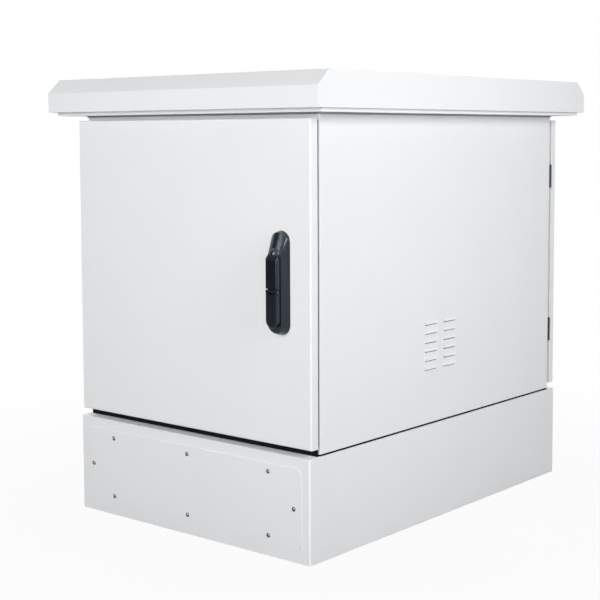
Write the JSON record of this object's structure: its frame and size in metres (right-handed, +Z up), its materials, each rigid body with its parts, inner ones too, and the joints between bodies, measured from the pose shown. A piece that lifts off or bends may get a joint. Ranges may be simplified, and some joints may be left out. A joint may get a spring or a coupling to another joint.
{
  "type": "roadside utility cabinet",
  "caption": "Floor-standing outdoor utility cabinet on a plinth with an overhanging canopy, louvred sides, and front and rear doors with lift-and-turn lever handles that drive rod locks.",
  "frame": {"origin": "middle of the plinth's footprint on the ground", "axes": "+X to the right facing the front door, +Y towards the rear door, +Z up"},
  "size_m": [0.696, 0.922, 0.866],
  "materials": {
    "powder_coat": "light grey polyester powder coat, fine texture, satin",
    "black_plastic": "black glass-filled polyamide, fine moulded grain",
    "black_metal": "black powder coat on zinc die casting",
    "zinc": "zinc-plated sheet steel",
    "steel": "bright stainless steel",
    "rubber": "black cellular rubber",
    "filter": "grey synthetic filter fleece",
    "brass": "turned brass"
  },
  "bodies": {
    "cabinet": {"plinth_flanges": "powder_coat", "plinth_sides": "powder_coat", "plinth_ends": "powder_coat", "plinth_seal": "rubber", "plinth_front_cover": "powder_coat", "plinth_rear_cover": "powder_coat", "plinth_cover_screws": "steel", "plinth_bolts": "zinc", "left_side_panel": "powder_coat", "right_side_panel": "powder_coat", "ceiling_panel": "powder_coat", "floor_panel": "powder_coat", "gland_plate": "zinc", "cable_grommets": "rubber", "roof_tray": "powder_coat", "tray_rim": "powder_coat", "roof_seal": "rubber", "roof_canopy": "powder_coat", "canopy_bolts": "zinc", "filter_frames": "black_plastic", "filter_mats": "filter", "front_left_rail": "zinc", "front_right_rail": "zinc", "rear_left_rail": "zinc", "rear_right_rail": "zinc", "left_depth_rails": "zinc", "right_depth_rails": "zinc", "rail_bolts": "steel", "hinge_frame_leaves": "black_metal", "hinge_pins": "steel"},
    "front_door": {"front_door_panel": "powder_coat", "front_door_gasket": "rubber", "front_door_leaves": "black_metal", "front_handle_base": "black_plastic", "front_lock_case": "zinc", "front_rod_guides": "black_plastic"},
    "front_spindle": {"front_spindle": "zinc", "front_pinion": "steel", "front_lever_pin": "steel"},
    "front_lever": {"front_lever": "black_plastic", "front_lock_cylinder": "brass", "front_flip_pin": "steel"},
    "front_key_cover": {"front_key_cover": "black_plastic"},
    "front_upper_rod": {"front_upper_rod": "zinc"},
    "front_lower_rod": {"front_lower_rod": "zinc"},
    "rear_door": {"rear_door_panel": "powder_coat", "rear_door_gasket": "rubber", "rear_door_leaves": "black_metal", "rear_handle_base": "black_plastic", "rear_lock_case": "zinc", "rear_rod_guides": "black_plastic"},
    "rear_spindle": {"rear_spindle": "zinc", "rear_pinion": "steel", "rear_lever_pin": "steel"},
    "rear_lever": {"rear_lever": "black_plastic", "rear_lock_cylinder": "brass", "rear_flip_pin": "steel"},
    "rear_key_cover": {"rear_key_cover": "black_plastic"},
    "rear_upper_rod": {"rear_upper_rod": "zinc"},
    "rear_lower_rod": {"rear_lower_rod": "zinc"}
  },
  "joints": [
    {"name": "front_door_swing", "type": "hinge", "parent": "cabinet", "child": "front_door", "pos_m": [-0.2966, -0.4045, 0.494], "axis": [0, 0, -1], "range_deg": [0, 110]},
    {"name": "front_handle_turn", "type": "hinge", "parent": "front_door", "child": "front_spindle", "pos_m": [0.2335, -0.424, 0.547], "axis": [0, 1, 0], "range_deg": [0, 90]},
    {"name": "front_lever_lift", "type": "hinge", "parent": "front_spindle", "child": "front_lever", "pos_m": [0.2335, -0.438, 0.547], "axis": [-1, 0, 0], "range_deg": [0, 35]},
    {"name": "front_cover_flip", "type": "hinge", "parent": "front_lever", "child": "front_key_cover", "pos_m": [0.2335, -0.4492, 0.4825], "axis": [-1, 0, 0], "range_deg": [0, 85]},
    {"name": "front_upper_rod_slide", "type": "slide", "parent": "front_door", "child": "front_upper_rod", "axis": [0, 0, 1], "range_m": [-0.0189, 0]},
    {"name": "front_lower_rod_slide", "type": "slide", "parent": "front_door", "child": "front_lower_rod", "axis": [0, 0, 1], "range_m": [0, 0.0189]},
    {"name": "rear_door_swing", "type": "hinge", "parent": "cabinet", "child": "rear_door", "pos_m": [0.2966, 0.4045, 0.494], "axis": [0, 0, -1], "range_deg": [0, 110]},
    {"name": "rear_handle_turn", "type": "hinge", "parent": "rear_door", "child": "rear_spindle", "pos_m": [-0.2335, 0.424, 0.547], "axis": [0, -1, 0], "range_deg": [0, 90]},
    {"name": "rear_lever_lift", "type": "hinge", "parent": "rear_spindle", "child": "rear_lever", "pos_m": [-0.2335, 0.438, 0.547], "axis": [1, 0, 0], "range_deg": [0, 35]},
    {"name": "rear_cover_flip", "type": "hinge", "parent": "rear_lever", "child": "rear_key_cover", "pos_m": [-0.2335, 0.4492, 0.4825], "axis": [1, 0, 0], "range_deg": [0, 85]},
    {"name": "rear_upper_rod_slide", "type": "slide", "parent": "rear_door", "child": "rear_upper_rod", "axis": [0, 0, 1], "range_m": [-0.0189, 0]},
    {"name": "rear_lower_rod_slide", "type": "slide", "parent": "rear_door", "child": "rear_lower_rod", "axis": [0, 0, 1], "range_m": [0, 0.0189]}
  ],
  "couplings": [
    {"joint": "front_upper_rod_slide", "follows": "front_handle_turn", "m_per_rad": -0.012},
    {"joint": "front_lower_rod_slide", "follows": "front_handle_turn", "m_per_rad": 0.012},
    {"joint": "rear_upper_rod_slide", "follows": "rear_handle_turn", "m_per_rad": -0.012},
    {"joint": "rear_lower_rod_slide", "follows": "rear_handle_turn", "m_per_rad": 0.012}
  ]
}
